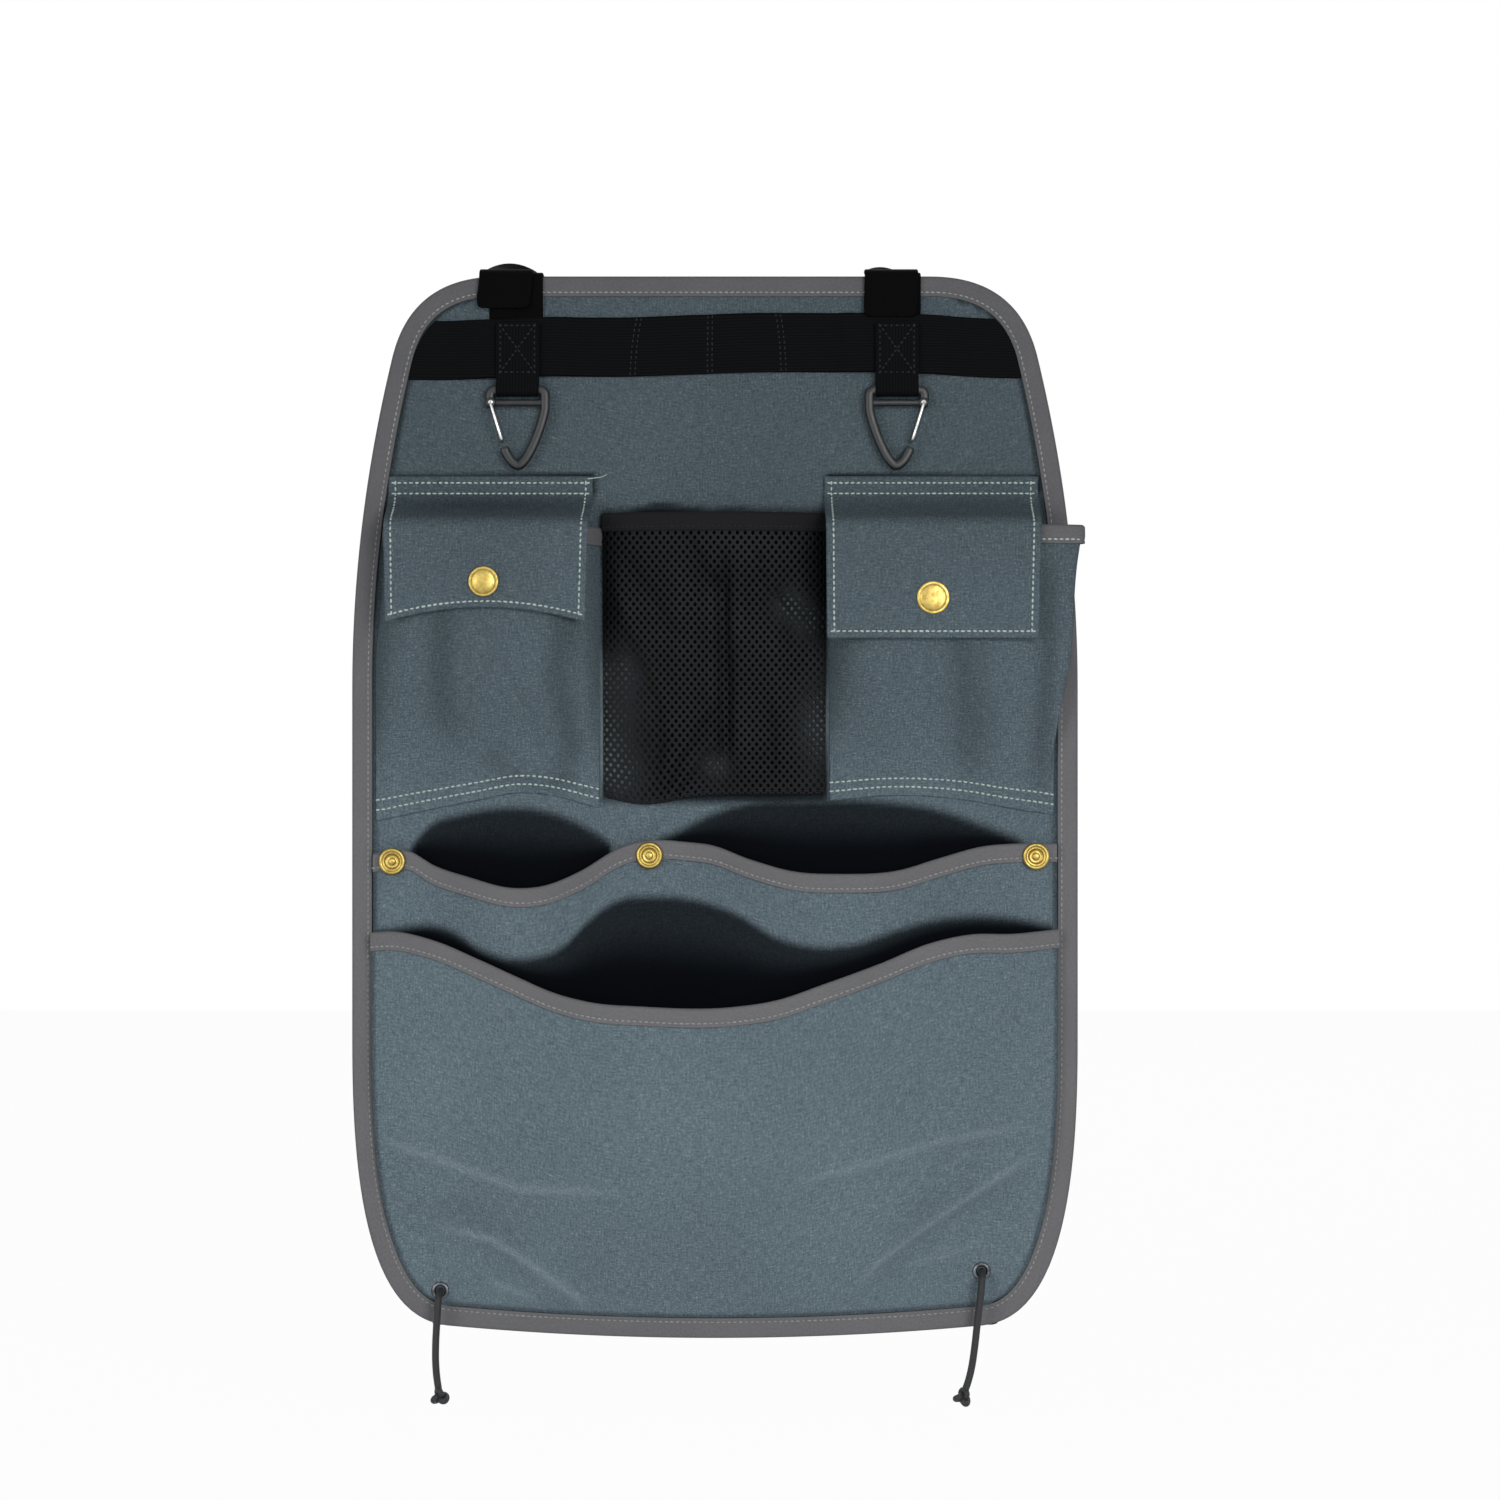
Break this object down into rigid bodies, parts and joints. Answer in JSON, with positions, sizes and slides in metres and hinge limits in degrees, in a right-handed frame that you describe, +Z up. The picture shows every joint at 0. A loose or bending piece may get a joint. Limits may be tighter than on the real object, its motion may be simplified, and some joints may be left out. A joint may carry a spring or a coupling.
{
  "type": "car seat organizer",
  "caption": "Canvas panel that hangs behind a car seat, with flapped, mesh and open pockets, hanging straps, small carabiners and elastic cords.",
  "frame": {"origin": "centre line, at the height of the panel's top edge and on its back face, where it hangs", "axes": "+Z up, +X to the right seen from the front, the pockets face -Y"},
  "size_m": [0.406, 0.1277, 0.6505],
  "materials": {
    "canvas": "blue-grey twill canvas",
    "binding": "grey woven binding tape",
    "webbing": "black ribbed webbing",
    "hook_loop": "black brushed loop strap",
    "mesh": "black open mesh",
    "plastic": "black moulded plastic",
    "gate_wire": "bright spring wire",
    "brass": "antique brass",
    "nickel": "black nickel",
    "elastic": "black braided elastic"
  },
  "bodies": {
    "organizer": {"back_panel": "canvas", "panel_binding": "binding", "ladder_webbing": "webbing", "mesh_pocket": "mesh", "mesh_pocket_binding": "mesh", "middle_pocket": "canvas", "middle_pocket_binding": "binding", "lower_pocket": "canvas", "lower_pocket_binding": "binding", "left_hanging_strap": "hook_loop", "left_carabiner_tab": "webbing", "left_pocket": "canvas", "left_pocket_binding": "binding", "left_pocket_flap": "canvas", "left_flap_cap": "brass", "left_flap_socket": "brass", "left_pocket_stud": "brass", "left_grommet": "nickel", "left_grommet_washer": "nickel", "left_cord": "elastic", "left_cord_knot": "elastic", "left_stopper_knot": "elastic", "right_hanging_strap": "hook_loop", "right_carabiner_tab": "webbing", "right_pocket": "canvas", "right_pocket_binding": "binding", "right_pocket_flap": "canvas", "right_flap_cap": "brass", "right_flap_socket": "brass", "right_pocket_stud": "brass", "right_grommet": "nickel", "right_grommet_washer": "nickel", "right_cord": "elastic", "right_cord_knot": "elastic", "right_stopper_knot": "elastic", "left_rim_snap": "brass", "left_rim_stud": "brass", "centre_rim_snap": "brass", "centre_rim_stud": "brass", "right_rim_snap": "brass", "right_rim_stud": "brass"},
    "left_carabiner": {"left_carabiner_frame": "plastic"},
    "right_carabiner": {"right_carabiner_frame": "plastic"},
    "left_gate": {"left_carabiner_gate": "gate_wire"},
    "right_gate": {"right_carabiner_gate": "gate_wire"}
  },
  "joints": [
    {"name": "left_carabiner_swing", "type": "hinge", "parent": "organizer", "child": "left_carabiner", "pos_m": [-0.11, -0.00785, -0.0644], "axis": [-1, 0, 0], "range_deg": [0, 100]},
    {"name": "left_gate_swing", "type": "hinge", "parent": "left_carabiner", "child": "left_gate", "pos_m": [-0.125, -0.00785, -0.0714], "axis": [0, -1, 0], "range_deg": [0, 25], "stiffness_Nm_per_rad": 0.01, "springref_deg": -17.19},
    {"name": "right_carabiner_swing", "type": "hinge", "parent": "organizer", "child": "right_carabiner", "pos_m": [0.1015, -0.00785, -0.0644], "axis": [-1, 0, 0], "range_deg": [0, 100]},
    {"name": "right_gate_swing", "type": "hinge", "parent": "right_carabiner", "child": "right_gate", "pos_m": [0.1165, -0.00785, -0.0714], "axis": [0, 1, 0], "range_deg": [0, 25], "stiffness_Nm_per_rad": 0.01, "springref_deg": -17.19}
  ]
}
